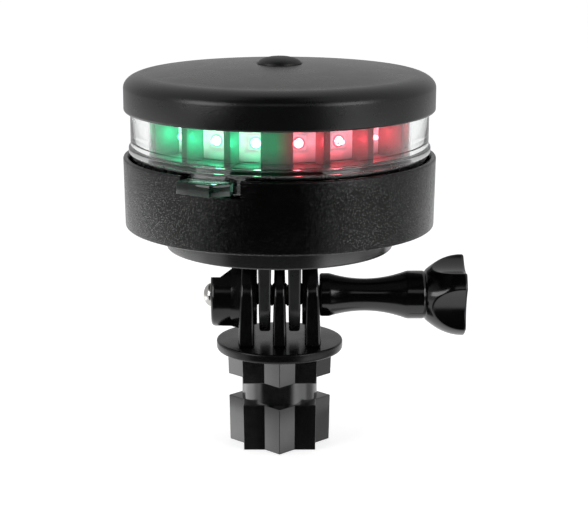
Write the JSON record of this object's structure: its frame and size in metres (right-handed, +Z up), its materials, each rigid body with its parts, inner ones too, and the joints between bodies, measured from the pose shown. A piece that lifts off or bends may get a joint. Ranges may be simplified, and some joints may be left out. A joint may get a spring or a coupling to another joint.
{
  "type": "portable navigation light",
  "caption": "Battery navigation light with green and red sides: clear ring lens and push-button cap, lifting out of a cup that tilts on a thumb-screw hinge above a star plug",
  "frame": {"origin": "centre of the flat lower end of the star plug, on the plug's own axis", "axes": "+Z up along the plug's axis, +X along the hinge screw towards the thumb knob, -Y is the front, the side the camera and the approaching vessel see"},
  "size_m": [0.0689, 0.0625, 0.0796],
  "materials": {
    "adapter_plastic": "satin black moulding, fine grain",
    "knob_plastic": "smooth polished black",
    "cup_plastic": "stippled matte black",
    "mount_plastic": "smooth satin dark grey",
    "cap_plastic": "fine-grained satin dark grey",
    "base_plastic": "smooth black",
    "carrier_plastic": "matte black moulding",
    "clear_lens": "clear polished plastic",
    "button_rubber": "soft matte rubber",
    "seal_rubber": "smooth rubber",
    "steel": "polished stainless steel",
    "white_strip": "white coated strip",
    "board": "coated circuit board",
    "cell_jacket": "printed metal jacket",
    "contact_metal": "nickel-plated spring metal",
    "green_led": "lit green chip",
    "red_led": "lit red chip"
  },
  "bodies": {
    "adapter": {"plug_adapter": "adapter_plastic", "threaded_insert": "steel"},
    "bolt": {"thumb_bolt": "steel"},
    "knob": {"thumb_knob": "knob_plastic"},
    "cup": {"cup_shell": "cup_plastic", "mount_disc": "mount_plastic", "mount_finger_left": "mount_plastic", "mount_finger_right": "mount_plastic", "cup_screw_1": "steel", "cup_screw_2": "steel", "cup_screw_3": "steel"},
    "light": {"lens_body": "clear_lens", "top_cap": "cap_plastic", "cap_seal": "seal_rubber", "led_carrier": "carrier_plastic", "led_strip": "white_strip", "led_green_1": "green_led", "led_green_2": "green_led", "led_green_3": "green_led", "led_green_4": "green_led", "led_green_5": "green_led", "led_green_6": "green_led", "led_red_1": "red_led", "led_red_2": "red_led", "led_red_3": "red_led", "led_red_4": "red_led", "led_red_5": "red_led", "led_red_6": "red_led", "control_board": "board", "tact_switch": "steel", "light_base": "base_plastic", "base_seal": "seal_rubber", "base_screw_front": "steel", "base_screw_back": "steel", "battery_1": "cell_jacket", "battery_2": "cell_jacket", "battery_3": "cell_jacket", "contact_plate_left": "contact_metal", "contact_plate_right": "contact_metal"},
    "button": {"top_button": "button_rubber"}
  },
  "joints": [
    {"name": "lamp_tilt", "type": "hinge", "parent": "adapter", "child": "cup", "pos_m": [0, 0, 0.031], "axis": [1, 0, 0], "range_deg": [-75, 75]},
    {"name": "light_lift", "type": "slide", "parent": "cup", "child": "light", "axis": [0, 0, 1], "range_m": [0, 0.02]},
    {"name": "button_press", "type": "slide", "parent": "light", "child": "button", "axis": [0, 0, -1], "range_m": [0, 0.0009], "stiffness_N_per_m": 400, "springref_m": -0.0005},
    {"name": "screw_travel", "type": "slide", "parent": "adapter", "child": "bolt", "axis": [1, 0, 0], "range_m": [0, 0.0064]},
    {"name": "knob_turn", "type": "hinge", "parent": "bolt", "child": "knob", "pos_m": [0.01, 0, 0.031], "axis": [1, 0, 0], "range_deg": [0, 2880]}
  ],
  "couplings": [
    {"joint": "knob_turn", "follows": "screw_travel", "rad_per_m": 7854}
  ]
}
